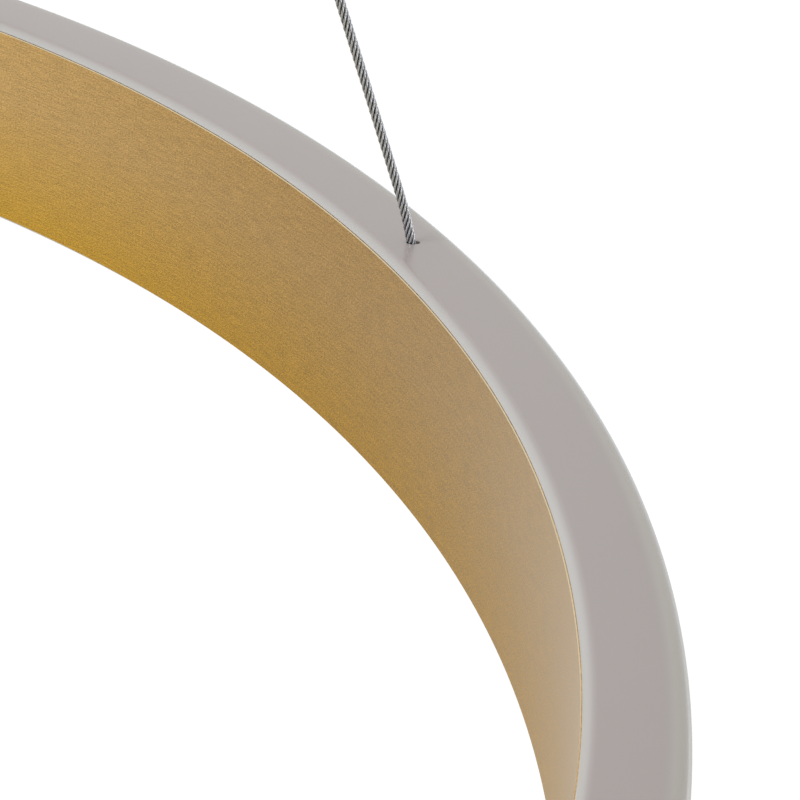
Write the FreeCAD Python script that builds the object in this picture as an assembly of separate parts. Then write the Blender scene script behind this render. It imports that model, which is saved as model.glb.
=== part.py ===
import FreeCAD, Part
import math
import os

os.makedirs("parts", exist_ok=True)

# A ring light hung from a ceiling canopy by three leaning steel wires.
# The origin is the middle of the canopy at the ceiling, +Z is up, and the first wire is at +X.
# All sizes are in millimetres. Radii end in _r, diameters in _d, widths in _w and thicknesses in _t.

WIRE_COUNT = 3
FULL_TURN = 360.0
QUARTER_TURN = 90.0
ORIGIN = FreeCAD.Vector(0, 0, 0)
UP = FreeCAD.Vector(0, 0, 1)

# The ring as a whole.
ring_outer_r = 300.0
ring_w = 14.0
ring_h = 40.0

# The silicone sleeve that covers the ring's top, outside and underside.
sleeve_wall_t = 1.2
sleeve_corner_r = 2.5
sleeve_corner_facets = 2
lip_run = 2.0
lip_facets = 1

# The channel-shaped aluminium band whose wall is the ring's inner face.
band_wall_t = 1.5
band_flange_t = 1.5
band_flange_gap = 1.0
seam_gap = 0.3
seam_azimuth = 180.0

# The plates behind the band's butt seam.
splice_length = 50.0
splice_t = 2.0
splice_h = 7.0
splice_gap = 0.1
splice_flange_gap = 0.3

# The light strip on the back of the band.
strip_w = 10.0
strip_t = 0.4
strip_bond_gap = 0.05
strip_end_gap = 5.0
chip_w = 2.8
chip_h = 3.5
chip_depth = 0.8
chip_step_deg = 15.0

# The feed of the light strip: a hole in the ring's top and a connector on the strip.
feed_azimuth = 165.0
feed_hole_inset = 5.5
feed_hole_d = 3.6
connector_length = 16.0
connector_w = 12.0
connector_t = 4.5
connector_gap = 0.1
connector_core_w = 1.6

# The suspension wires.
wire_d = 1.5
wire_drop = 515.0
wire_bend_r = 7.5
wire_tail = 9.0

# The blocks that anchor the wires inside the ring.
anchor_inset = 6.0
anchor_bend_depth = 4.0
anchor_length = 16.0
anchor_h = 9.5
anchor_gap = 0.2
anchor_bore_d = 3.2
ferrule_af = 4.2
ferrule_l = 5.0
ferrule_bore_gap = 0.05
ferrule_seat_depth = 6.2
ferrule_room = 0.2

# The slits that the wires leave the ring by: snug in the sleeve, roomy in the band's flange.
sleeve_slit_w = 1.8
sleeve_slit_inner_gap = 0.15
sleeve_slit_outer_room = 0.8
flange_slit_w = 2.2
flange_slit_inner_gap = 0.3
flange_slit_outer_room = 1.9

# The canopy cover.
cover_r = 130.0
cover_h = 38.0
cover_t = 1.0
cover_corner_r = 6.0
cover_corner_facets = 3
cover_inner_facets = 1

# The strap that is screwed to the ceiling and carries the cover.
strap_w = 36.0
strap_t = 2.0
strap_end_gap = 2.2
strap_fold_r = 1.5
strap_tab_h = 16.0
ceiling_screw_spacing = 100.0
ceiling_slot_w = 5.5
ceiling_slot_l = 20.0
supply_hole_d = 16.0

# The pan-head screws in the cover's side.
side_screw_depth = 9.0
side_screw_l = 6.0
pan_screw_d = 4.0
pan_head_d = 8.0
pan_head_t = 2.4
pan_hole_room = 0.2
thread_fit = 0.05

# The wire grippers.
gripper_inset = 20.0
gripper_thread_d = 10.0
gripper_thread_l = 19.0
gripper_hole_room = 0.2
gripper_barrel_d = 13.0
gripper_barrel_l = 14.0
gripper_chamber_d = 7.6
gripper_cone_h = 8.0
gripper_cone_top = 5.0
plunger_d = 5.0
plunger_fit = 0.1
plunger_travel = 2.5
plunger_stop_gap = 0.3
plunger_collar_d = 8.4
plunger_collar_h = 2.7
plunger_bore_d = 3.2
plunger_top_depth = 1.5
wire_bend_above_mouth = 1.0
jaw_count = 3
jaw_h = 4.0
jaw_slot_w = 0.6
jaw_cone_gap = 0.1
jaw_wire_gap = 0.1
jaw_cone_sides = 12
cap_t = 2.5
cap_socket_af = 3.0
spring_wire_t = 0.55
spring_mean_d = 5.3
spring_turns = 3.5
spring_sides_per_turn = 8
spring_end_gap = 0.15

# The nuts on the grippers and on the outlet, above the cover's floor.
nut_af = 14.0
nut_h = 4.0

# The threaded outlet in the middle of the cover, which the feed lead leaves by.
outlet_thread_d = gripper_thread_d
outlet_thread_l = 9.0
outlet_hex_af = 16.0
outlet_hex_t = 5.0
outlet_bore_d = 5.2

# The power supply on its foam pads.
driver_l = 112.0
driver_w = 38.0
driver_h = 22.0
driver_x = 53.0
driver_corner_r = 3.0
driver_rib_count = 9
driver_rib_w = 2.0
driver_rib_h = 1.2
driver_rib_pitch = 7.0
pad_t = 1.0
pad_l = 24.0
pad_inset = 10.0

# The terminal block under the strap.
terminal_end_gap = 34.0
terminal_pitch = 9.0
terminal_poles = 3
terminal_w = 17.0
terminal_h = 12.0
terminal_notch_w = 1.6
terminal_notch_h = 5.0
terminal_entry_w = 3.4
terminal_entry_depth = 4.0

# How far a cutting body runs past what it cuts.
past = 1.0

# Radii and heights that follow from the sizes above.
band_r = ring_outer_r - ring_w
band_back_r = band_r + band_wall_t
sleeve_back_r = ring_outer_r - sleeve_wall_t
feed_hole_circle_r = ring_outer_r - feed_hole_inset
anchor_circle_r = ring_outer_r - anchor_inset
gripper_circle_r = cover_r - gripper_inset
cover_floor_z = -cover_h
cover_inside_z = cover_floor_z + cover_t
barrel_end_z = cover_floor_z - gripper_barrel_l
collar_top_z = barrel_end_z - plunger_travel - plunger_stop_gap
plunger_end_z = collar_top_z - plunger_collar_h
upper_bend_z = plunger_end_z + wire_bend_above_mouth
lower_bend_z = upper_bend_z - wire_drop
ring_top_z = lower_bend_z + anchor_bend_depth
ring_bottom_z = ring_top_z - ring_h
ring_middle_z = (ring_top_z + ring_bottom_z) / 2
wire_slope = (anchor_circle_r - gripper_circle_r) / wire_drop


def save(name, shape):
    """Writes one sub-part, as a compound where it has several solids."""
    if isinstance(shape, list):
        shape = Part.makeCompound(shape)
    shape.exportStep(f"parts/{name}.step")


def turned(corners, angle=FULL_TURN, middle=0.0):
    """Corners (radius, height) turned round Z, over the angle whose middle is at the given azimuth."""
    outline = [FreeCAD.Vector(r, 0, z) for r, z in corners + corners[:1]]
    solid = Part.Face(Part.makePolygon(outline)).revolve(ORIGIN, UP, angle)
    if angle < FULL_TURN:
        solid.rotate(ORIGIN, UP, middle - angle / 2)
    return solid


def round_corner(centre, radius, first, last, facets):
    """Points along an arc, which stand for it by a few flat facets. Angles count from +r towards +z."""
    angles = [math.radians(first + (last - first) * i / facets) for i in range(facets + 1)]
    return [(centre[0] + radius * math.cos(a), centre[1] + radius * math.sin(a)) for a in angles]


def both_halves(upper):
    """An outline that goes on from its upper half with the mirror image of it below."""
    return upper + [(r, 2 * ring_middle_z - z) for r, z in reversed(upper)]


def cylinder(d, length, base, axis):
    return Part.makeCylinder(d / 2, length, base, axis)


def upright(d, z_low, z_high, x=0.0, y=0.0):
    """A vertical cylinder between two heights."""
    return cylinder(d, z_high - z_low, FreeCAD.Vector(x, y, z_low), UP)


def box(x0, x1, y0, y1, z0, z1):
    return Part.makeBox(x1 - x0, y1 - y0, z1 - z0, FreeCAD.Vector(x0, y0, z0))


def mirrored_y(shape):
    """The shape's mirror image on the other side of the XZ plane."""
    return shape.mirror(ORIGIN, FreeCAD.Vector(0, 1, 0))


def polygon_round(corner_r, sides, z):
    """A level polygon round the axis, with its corners at that radius."""
    angles = [2 * math.pi * i / sides for i in range(sides + 1)]
    return Part.makePolygon([FreeCAD.Vector(corner_r * math.cos(a), corner_r * math.sin(a), z) for a in angles])


def hexagon(across_flats, z_low, z_high):
    """A vertical hexagonal prism on the axis."""
    return Part.Face(polygon_round(across_flats / math.sqrt(3), 6, z_low)).extrude(UP * (z_high - z_low))


def at_azimuth(shape, azimuth):
    """A copy of a shape, turned round the ring's axis."""
    copy = shape.copy()
    copy.rotate(ORIGIN, UP, azimuth)
    return copy


def wire_azimuth(n):
    return n * FULL_TURN / WIRE_COUNT


def at_each_wire(solids):
    """Copies of the solids at every wire."""
    return [at_azimuth(solid, wire_azimuth(n)) for n in range(WIRE_COUNT) for solid in solids]


def slot(length, width, z_low, z_high):
    """A vertical body with round ends, for cutting a slot. Its length runs along X."""
    half = (length - width) / 2
    ends = [upright(width, z_low, z_high, -half), upright(width, z_low, z_high, half)]
    return box(-half, half, -width / 2, width / 2, z_low, z_high).fuse(ends).removeSplitter()


def degrees_of(length, radius):
    """The angle that an arc of that length takes at that radius."""
    return math.degrees(length / radius)


# The ring.


def top_heights():
    """From under the band's upper flange to above the ring, for cutting through its top."""
    return ring_top_z - sleeve_wall_t - band_flange_t - past, ring_top_z + past


def feed_hole():
    """The hole for the feed lead through the ring's top."""
    return at_azimuth(upright(feed_hole_d, *top_heights(), feed_hole_circle_r), feed_azimuth)


def slit_span(inner_gap, outer_room):
    """The inner and outer radius of a slit round a wire, where the wire leaves the ring's top."""
    wire_r_at_top = anchor_circle_r - anchor_bend_depth * wire_slope
    return wire_r_at_top - wire_d / 2 - inner_gap, wire_r_at_top + wire_d / 2 + outer_room


def sleeve_openings():
    """What is cut through the sleeve's top: a round-ended slit for each wire, and the feed hole."""
    inner, outer = slit_span(sleeve_slit_inner_gap, sleeve_slit_outer_room)
    slit = slot(outer - inner, sleeve_slit_w, *top_heights())
    slit.translate(FreeCAD.Vector((inner + outer) / 2, 0, 0))
    return at_each_wire([slit]) + [feed_hole()]


def flange_openings():
    """What is cut through the band's upper flange: a wider slit for each wire, and the feed hole."""
    inner, outer = slit_span(flange_slit_inner_gap, flange_slit_outer_room)
    half_w = flange_slit_w / 2
    return at_each_wire([box(inner, outer, -half_w, half_w, *top_heights())]) + [feed_hole()]


def silicone_sleeve():
    """A C-shaped skin over the band's flanges, rounded outside and pillowed where it meets the band's face."""
    top = ring_top_z
    under = top - sleeve_wall_t
    lip_r = (lip_run**2 + sleeve_wall_t**2) / (2 * sleeve_wall_t)
    lip_turn = math.degrees(math.asin(lip_run / lip_r))
    lip_centre = (band_r + lip_run, top - lip_r)
    corner_centre = (ring_outer_r - sleeve_corner_r, top - sleeve_corner_r)
    outside = round_corner(corner_centre, sleeve_corner_r, 0, QUARTER_TURN, sleeve_corner_facets)
    lip = round_corner(lip_centre, lip_r, QUARTER_TURN, QUARTER_TURN + lip_turn, lip_facets)
    sleeve = turned(both_halves([(sleeve_back_r, under)] + list(reversed(outside + lip))))
    return sleeve.cut(sleeve_openings())


def aluminium_band():
    """The band: a channel with its flanges turned outward, bent to a ring and closed by one butt seam."""
    top = ring_top_z - sleeve_wall_t
    flange_r = sleeve_back_r - band_flange_gap
    under = band_flange_under_z()
    band = turned(both_halves([(band_back_r, under), (flange_r, under), (flange_r, top), (band_r, top)]))
    half_gap = seam_gap / 2
    seam = box(band_r - past, flange_r + past, -half_gap, half_gap, ring_bottom_z, ring_top_z)
    return band.cut(flange_openings() + [at_azimuth(seam, seam_azimuth)])


def band_flange_under_z():
    """The underside of the band's upper flange."""
    return ring_top_z - sleeve_wall_t - band_flange_t


def curved_bar(r0, r1, z0, z1, angle, middle):
    """A curved bar of rectangular section along the ring."""
    return turned([(r0, z0), (r1, z0), (r1, z1), (r0, z1)], angle, middle)


def splice_plates():
    """Two curved bars behind the band's seam, above and below the light strip."""
    r0 = band_back_r + splice_gap
    r1 = r0 + splice_t
    angle = degrees_of(splice_length, r0)
    high = band_flange_under_z() - splice_flange_gap
    low = 2 * ring_middle_z - high
    return [
        curved_bar(r0, r1, high - splice_h, high, angle, seam_azimuth),
        curved_bar(r0, r1, low, low + splice_h, angle, seam_azimuth),
    ]


def led_strip():
    """A flexible board bonded to the back of the band, with its two ends at the feed."""
    r0 = band_back_r + strip_bond_gap
    angle = FULL_TURN - degrees_of(strip_end_gap, r0)
    z0 = ring_middle_z - strip_w / 2
    return curved_bar(r0, r0 + strip_t, z0, z0 + strip_w, angle, feed_azimuth + FULL_TURN / 2)


def led_chips():
    """One small block for each light source, left out where the feed connector sits."""
    r0 = band_back_r + strip_bond_gap + strip_t
    half_w = chip_w / 2
    half_h = chip_h / 2
    chip = box(r0, r0 + chip_depth, -half_w, half_w, ring_middle_z - half_h, ring_middle_z + half_h)
    keep_off = degrees_of(connector_length / 2 + chip_w, r0)
    count = int(FULL_TURN / chip_step_deg)
    azimuths = [(i + 0.5) * FULL_TURN / count for i in range(count)]
    return [at_azimuth(chip, azimuth) for azimuth in azimuths if abs(azimuth - feed_azimuth) > keep_off]


def feed_connector():
    """The clip-on connector over the ends of the strip, with two entries for the lead's cores."""
    r0 = band_back_r + strip_bond_gap + strip_t + connector_gap
    z0 = ring_middle_z - connector_w / 2
    z1 = ring_middle_z + connector_w / 2
    body = curved_bar(r0, r0 + connector_t, z0, z1, degrees_of(connector_length, r0), 0)
    half = connector_core_w / 2
    middle = r0 + connector_t / 2
    entry = box(middle - half, middle + half, connector_w / 4 - half, connector_w / 4 + half, z1 - half, z1 + past)
    return at_azimuth(body.cut([entry, mirrored_y(entry)]), feed_azimuth)


# The wire anchors in the ring.


def anchor_block():
    """A block under the band's upper flange, bored for the wire and with a hexagonal seat for its ferrule."""
    r0 = band_back_r + anchor_gap
    r1 = sleeve_back_r - band_flange_gap
    top = band_flange_under_z()
    bottom = top - anchor_h
    block = curved_bar(r0, r1, bottom, top, degrees_of(anchor_length, anchor_circle_r), 0)
    seat = ring_top_z - ferrule_seat_depth
    bore = upright(anchor_bore_d, seat - past, top + past, anchor_circle_r)
    recess = hexagon(ferrule_af + 2 * ferrule_room, bottom - past, seat)
    recess.translate(FreeCAD.Vector(anchor_circle_r, 0, 0))
    return block.cut([bore, recess])


def wire_ferrule():
    """The sleeve crimped to a hexagon on the wire's end, which the tension holds against its seat."""
    seat = ring_top_z - ferrule_seat_depth
    end = seat - ferrule_l
    bore = upright(wire_d + 2 * ferrule_bore_gap, end - past, seat + past)
    ferrule = hexagon(ferrule_af, end, seat).cut(bore)
    ferrule.translate(FreeCAD.Vector(anchor_circle_r, 0, 0))
    return ferrule


# The suspension wires.


def wire_route():
    """Where a wire runs: upright in the gripper, leaning out to the ring, and upright again in the anchor."""
    return [
        FreeCAD.Vector(gripper_circle_r, 0, cover_floor_z + gripper_thread_l + wire_tail),
        FreeCAD.Vector(gripper_circle_r, 0, upper_bend_z),
        FreeCAD.Vector(anchor_circle_r, 0, lower_bend_z),
        FreeCAD.Vector(anchor_circle_r, 0, ring_top_z - ferrule_seat_depth - ferrule_l),
    ]


def wire_solid(points, diameter, bend_r):
    """A round wire along straight runs, joined by bends of one radius that meet them smoothly."""
    pieces = []
    length = 0.0
    here = points[0]
    for before, corner, after in zip(points, points[1:], points[2:]):
        arriving = (corner - before).normalize()
        leaving = (after - corner).normalize()
        turn = arriving.getAngle(leaving)
        cut_back = bend_r * math.tan(turn / 2)
        bend_start = corner - arriving * cut_back
        inward = (leaving - arriving * arriving.dot(leaving)).normalize()
        section = Part.Face(Part.Wire(Part.Circle(bend_start, arriving, diameter / 2).toShape()))
        centre = bend_start + inward * bend_r
        pieces.append(cylinder(diameter, (bend_start - here).Length, here, arriving))
        pieces.append(section.revolve(centre, arriving.cross(leaving), math.degrees(turn)))
        length += (bend_start - here).Length + bend_r * turn
        here = corner + leaving * cut_back
    last = points[-1] - here
    pieces.append(cylinder(diameter, last.Length, here, last))
    length += last.Length
    wire = pieces[0].fuse(pieces[1:])
    expected = math.pi * (diameter / 2) ** 2 * length
    print(f"wire: {length:.1f} mm long, {len(wire.Solids)} solid, bends of {bend_r:g} mm radius")
    print(f"wire: its volume is {wire.Volume / expected:.4f} of section times length")
    return wire


# The wire grippers. Their heights are counted from the underside of the cover.


def placed_gripper(shape):
    shape.translate(FreeCAD.Vector(gripper_circle_r, 0, cover_floor_z))
    return shape


def cone_radius(z):
    """The radius of the gripper's inner cone, at a height above the underside of the cover."""
    bore_r = plunger_d / 2 + plunger_fit
    share = (z - gripper_cone_top + gripper_cone_h) / gripper_cone_h
    return bore_r + share * (gripper_chamber_d / 2 - bore_r)


def gripper_body():
    """A turned body: threaded neck and wider barrel, bored with a cone that narrows downwards."""
    bore_r = plunger_d / 2 + plunger_fit
    chamber_r = gripper_chamber_d / 2
    neck_r = gripper_thread_d / 2
    barrel_r = gripper_barrel_d / 2
    body = turned(
        [
            (bore_r, gripper_cone_top - gripper_cone_h),
            (chamber_r, gripper_cone_top),
            (chamber_r, gripper_thread_l),
            (neck_r, gripper_thread_l),
            (neck_r, 0),
            (barrel_r, 0),
            (barrel_r, -gripper_barrel_l),
            (bore_r, -gripper_barrel_l),
        ]
    )
    return placed_gripper(body)


def hex_nut():
    """A hexagon nut on the axis, standing on the cover's floor."""
    z0 = cover_inside_z
    z1 = z0 + nut_h
    return hexagon(nut_af, z0, z1).cut(upright(gripper_thread_d + 2 * thread_fit, z0 - past, z1 + past))


def hex_nuts():
    """The nuts that clamp the grippers and the outlet to the cover's floor."""
    nut = hex_nut()
    at_gripper = nut.copy()
    at_gripper.translate(FreeCAD.Vector(gripper_circle_r, 0, 0))
    return [nut] + at_each_wire([at_gripper])


def gripper_cap():
    """The threaded plug that closes the top of a gripper and backs its spring, with a hexagon socket through it."""
    top = gripper_thread_l
    cap = upright(gripper_chamber_d - 2 * thread_fit, top - cap_t, top)
    return placed_gripper(cap.cut(hexagon(cap_socket_af, top - cap_t - past, top + past)))


def gripper_plunger():
    """The release plunger: a tube round the wire, with a collar to push."""
    shank_r = plunger_d / 2
    bore_r = plunger_bore_d / 2
    collar_r = plunger_collar_d / 2
    collar_top = collar_top_z - cover_floor_z
    end = plunger_end_z - cover_floor_z
    plunger = turned(
        [
            (bore_r, -plunger_top_depth),
            (shank_r, -plunger_top_depth),
            (shank_r, collar_top),
            (collar_r, collar_top),
            (collar_r, end),
            (bore_r, end),
        ]
    )
    return placed_gripper(plunger)


def gripper_jaws():
    """Wedge jaws that stand on the plunger, between the body's cone and the wire."""
    low = -plunger_top_depth
    high = low + jaw_h
    ends = [polygon_round(cone_radius(z) - jaw_cone_gap, jaw_cone_sides, z) for z in (low, high)]
    wedge = Part.makeLoft(ends, True, True)
    half = jaw_slot_w / 2
    gap = box(0, gripper_chamber_d, -half, half, low - past, high + past)
    gaps = [at_azimuth(gap, (i + 0.5) * FULL_TURN / jaw_count) for i in range(jaw_count)]
    bore = hexagon(wire_d + 2 * jaw_wire_gap, low - past, high + past)
    return [placed_gripper(jaw) for jaw in wedge.cut(gaps + [bore]).Solids]


def gripper_spring():
    """A compression spring of square wire between the cap and the jaws, in short flat stretches."""
    half_t = spring_wire_t / 2
    low = -plunger_top_depth + jaw_h + spring_end_gap + half_t
    high = gripper_thread_l - cap_t - spring_end_gap - half_t
    steps = int(spring_turns * spring_sides_per_turn)
    corners = ((-half_t, -half_t), (half_t, -half_t), (half_t, half_t), (-half_t, half_t), (-half_t, -half_t))
    sections = []
    for i in range(steps + 1):
        z = low + (high - low) * i / steps
        square = [FreeCAD.Vector(spring_mean_d / 2 + dr, 0, z + dz) for dr, dz in corners]
        section = Part.makePolygon(square)
        section.rotate(ORIGIN, UP, i * FULL_TURN / spring_sides_per_turn)
        sections.append(section)
    return placed_gripper(Part.makeLoft(sections, True, True))


# The canopy.


def canopy_cover():
    """A spun cup with a rounded floor edge, open to the ceiling."""
    centre = (cover_r - cover_corner_r, cover_floor_z + cover_corner_r)
    outside = round_corner(centre, cover_corner_r, 0, -QUARTER_TURN, cover_corner_facets)
    inside = round_corner(centre, cover_corner_r - cover_t, -QUARTER_TURN, 0, cover_inner_facets)
    top = [(cover_r - cover_t, 0), (cover_r, 0)]
    cover = turned(top + outside + [(0, cover_floor_z), (0, cover_inside_z)] + inside)
    floor = (cover_floor_z - past, cover_inside_z + past)
    neck_hole = upright(gripper_thread_d + 2 * gripper_hole_room, *floor, gripper_circle_r)
    cuts = at_each_wire([neck_hole])
    cuts.append(upright(outlet_thread_d + 2 * gripper_hole_room, *floor))
    start = FreeCAD.Vector(0, cover_r - cover_t - past, -side_screw_depth)
    side_hole = cylinder(pan_screw_d + 2 * pan_hole_room, cover_t + 2 * past, start, FreeCAD.Vector(0, 1, 0))
    return cover.cut(cuts + [side_hole, mirrored_y(side_hole)])


def strap_end():
    """From the middle of the strap to the outer face of its folded end."""
    return cover_r - cover_t - strap_end_gap


def ceiling_strap():
    """A flat strap under the ceiling, with slots for two screws and an end folded down at each side."""
    end = strap_end()
    half_w = strap_w / 2
    folded = [
        (-end, 0),
        (end, 0),
        (end, -strap_tab_h),
        (end - strap_t, -strap_tab_h),
        (end - strap_t, -strap_t),
        (strap_t - end, -strap_t),
        (strap_t - end, -strap_tab_h),
        (-end, -strap_tab_h),
        (-end, 0),
    ]
    side_view = Part.makePolygon([FreeCAD.Vector(-half_w, y, z) for y, z in folded])
    strap = Part.Face(side_view).extrude(FreeCAD.Vector(strap_w, 0, 0))
    folds = [e for e in strap.Edges if abs(e.CenterOfMass.z) < 1e-6 and abs(abs(e.CenterOfMass.y) - end) < 1e-6]
    strap = strap.makeFillet(strap_fold_r, folds)
    low = -strap_t - past
    ceiling_slot = slot(ceiling_slot_l, ceiling_slot_w, low, past)
    ceiling_slot.rotate(ORIGIN, UP, QUARTER_TURN)
    ceiling_slot.translate(FreeCAD.Vector(0, ceiling_screw_spacing / 2, 0))
    start = FreeCAD.Vector(0, end - strap_t - past, -side_screw_depth)
    tapped = cylinder(pan_screw_d, strap_t + 2 * past, start, FreeCAD.Vector(0, 1, 0))
    cuts = [ceiling_slot, mirrored_y(ceiling_slot), tapped, mirrored_y(tapped)]
    return strap.cut(cuts + [upright(supply_hole_d, low, past)])


def cover_screws():
    """Two pan-head screws through the cover's wall into the strap's folded ends."""
    inward = FreeCAD.Vector(0, -1, 0)
    start = FreeCAD.Vector(0, cover_r, -side_screw_depth)
    shank = cylinder(pan_screw_d - 2 * thread_fit, side_screw_l, start, inward)
    head = cylinder(pan_head_d, pan_head_t, start - inward * pan_head_t, inward)
    screw = head.fuse(shank)
    return [screw, mirrored_y(screw)]


def cord_outlet():
    """The outlet in the middle of the cover: a threaded neck on a hexagon, bored for the feed lead."""
    z = cover_floor_z
    outlet = hexagon(outlet_hex_af, z - outlet_hex_t, z).fuse(upright(outlet_thread_d, z, z + outlet_thread_l))
    return outlet.cut(upright(outlet_bore_d, z - outlet_hex_t - past, z + outlet_thread_l + past))


def led_driver():
    """The moulded power supply on the cover's floor, with cooling ribs across its top."""
    z0 = cover_inside_z + pad_t
    x0 = driver_x - driver_w / 2
    x1 = driver_x + driver_w / 2
    case_h = driver_h - driver_rib_h
    case = box(x0, x1, -driver_l / 2, driver_l / 2, z0, z0 + case_h)
    uprights = [e for e in case.Edges if abs(e.BoundBox.ZLength - case_h) < 1e-6]
    case = case.makeFillet(driver_corner_r, uprights)
    ribs = []
    for i in range(driver_rib_count):
        y0 = (i - (driver_rib_count - 1) / 2) * driver_rib_pitch - driver_rib_w / 2
        y1 = y0 + driver_rib_w
        ribs.append(
            box(x0 + driver_corner_r, x1 - driver_corner_r, y0, y1, z0 + case_h - past, z0 + driver_h)
        )
    return case.fuse(ribs).removeSplitter()


def driver_pads():
    """Two foam pads that bond the power supply to the cover's floor."""
    x0 = driver_x - driver_w / 2 + driver_corner_r
    x1 = driver_x + driver_w / 2 - driver_corner_r
    far = driver_l / 2 - pad_inset
    pad = box(x0, x1, far - pad_l, far, cover_inside_z, cover_inside_z + pad_t)
    return [pad, mirrored_y(pad)]


def terminal_block():
    """A row of terminals under the strap, notched between the poles."""
    terminal_y = strap_end() - terminal_end_gap - terminal_poles * terminal_pitch
    z1 = -strap_t
    z0 = z1 - terminal_h
    half_w = terminal_w / 2
    block = box(-half_w, half_w, terminal_y, terminal_y + terminal_poles * terminal_pitch, z0, z1)
    cuts = []
    half = terminal_notch_w / 2
    for i in range(1, terminal_poles):
        y = terminal_y + i * terminal_pitch
        cuts.append(box(-half_w - past, half_w + past, y - half, y + half, z0 - past, z0 + terminal_notch_h))
    half = terminal_entry_w / 2
    middle_z = (z0 + z1) / 2
    for i in range(terminal_poles):
        y = terminal_y + (i + 0.5) * terminal_pitch
        for x in (-half_w, half_w - terminal_entry_depth):
            cuts.append(box(x, x + terminal_entry_depth, y - half, y + half, middle_z - half, middle_z + half))
    return block.cut(cuts)


save("silicone_sleeve", silicone_sleeve())
save("aluminium_band", aluminium_band())
save("splice_plates", splice_plates())
save("led_strip", led_strip())
save("led_chips", led_chips())
save("feed_connector", feed_connector())
save("anchor_blocks", at_each_wire([anchor_block()]))
save("wire_ferrules", at_each_wire([wire_ferrule()]))

wire = wire_solid(wire_route(), wire_d, wire_bend_r)
plunger = gripper_plunger()
jaws = gripper_jaws()
spring = gripper_spring()
for n in range(WIRE_COUNT):
    azimuth = wire_azimuth(n)
    save(f"suspension_wire_{n + 1}", at_azimuth(wire, azimuth))
    save(f"gripper_plunger_{n + 1}", at_azimuth(plunger, azimuth))
    save(f"gripper_jaws_{n + 1}", [at_azimuth(jaw, azimuth) for jaw in jaws])
    save(f"gripper_spring_{n + 1}", at_azimuth(spring, azimuth))

save("gripper_bodies", at_each_wire([gripper_body()]))
save("hex_nuts", hex_nuts())
save("gripper_caps", at_each_wire([gripper_cap()]))
save("canopy_cover", canopy_cover())
save("ceiling_strap", ceiling_strap())
save("cover_screws", cover_screws())
save("cord_outlet", cord_outlet())
save("led_driver", led_driver())
save("driver_pads", driver_pads())
save("terminal_block", terminal_block())
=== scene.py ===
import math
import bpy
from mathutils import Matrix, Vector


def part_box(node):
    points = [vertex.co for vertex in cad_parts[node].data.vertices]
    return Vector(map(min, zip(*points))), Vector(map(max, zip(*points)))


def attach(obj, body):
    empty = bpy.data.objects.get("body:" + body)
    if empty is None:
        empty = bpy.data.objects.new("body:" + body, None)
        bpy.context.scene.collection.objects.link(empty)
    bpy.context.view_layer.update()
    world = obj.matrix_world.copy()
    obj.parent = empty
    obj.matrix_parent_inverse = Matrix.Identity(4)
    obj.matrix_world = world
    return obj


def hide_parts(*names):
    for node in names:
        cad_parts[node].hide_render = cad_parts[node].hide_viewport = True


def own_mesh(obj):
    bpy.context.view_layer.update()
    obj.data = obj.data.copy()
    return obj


bl_info = {
    "name": "Ring light on three wires",
    "version": (1, 0, 0),
    "blender": (4, 5, 0),
    "location": "3D View > Sidebar > Ring light",
    "description": "Builds the looks of a ring light with its wires, wire grippers and canopy",
    "category": "Object",
}

from functools import partial

import bmesh
import bpy
from bpy.props import FloatProperty, FloatVectorProperty, IntProperty, PointerProperty
from mathutils import Matrix, Vector

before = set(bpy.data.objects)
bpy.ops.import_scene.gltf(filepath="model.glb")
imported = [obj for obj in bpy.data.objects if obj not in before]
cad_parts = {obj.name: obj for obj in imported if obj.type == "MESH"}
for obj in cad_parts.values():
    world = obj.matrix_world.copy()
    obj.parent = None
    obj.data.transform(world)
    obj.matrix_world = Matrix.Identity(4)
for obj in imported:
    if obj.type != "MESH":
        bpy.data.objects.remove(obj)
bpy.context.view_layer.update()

MM = 0.001
FULL_TURN = 2 * math.pi
SAME_PLACE = 1e-6

# The CAD model's own places and sizes.
WIRE_AZIMUTHS = (0.0, FULL_TURN / 3, 2 * FULL_TURN / 3)
RING_LOW, RING_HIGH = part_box("silicone_sleeve")
RING_TOP = RING_HIGH[2]
RING_MIDDLE = (RING_LOW[2] + RING_HIGH[2]) / 2
COVER_LOW, COVER_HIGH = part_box("canopy_cover")
COVER_FLOOR = COVER_LOW[2]
GRIPPER_CIRCLE = 110 * MM
ANCHOR_CIRCLE = 294 * MM
LEAD_HOLE_CIRCLE = 294.5 * MM
LEAD_HOLE_RADIUS = 1.8 * MM
LEAD_HOLE_AZIMUTH = math.radians(165)
SIDE_AZIMUTHS = (math.pi / 2, -math.pi / 2)
SIDE_SCREW_Z = -9 * MM
# Grippers and outlet have the same neck, with a thread of 10 mm, and the same nut.
NECK_RADIUS = 5 * MM
NECK_PITCH = 1 * MM
NECK_HOLE_RADIUS = 5.2 * MM
GRIPPER_NECK_LENGTH = 19 * MM
OUTLET_NECK_LENGTH = 9 * MM
OUTLET_BORE_RADIUS = 2.6 * MM
OUTLET_HEAD_HEIGHT = 5 * MM


# Sizes and colours that a user may change.


def length_property(name, description, default):
    return FloatProperty(
        name=name, description=description, default=default, min=0.0, unit="LENGTH", precision=5
    )


def colour_property(name, description, code):
    return FloatVectorProperty(
        name=name, description=description, default=linear(code), size=3, subtype="COLOR", min=0, max=1
    )


def linear(code):
    """The linear colour of an sRGB hex code."""
    parts = [int(code[i : i + 2], 16) / 255 for i in (1, 3, 5)]
    return tuple(p / 12.92 if p <= 0.04045 else ((p + 0.055) / 1.055) ** 2.4 for p in parts)


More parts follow.
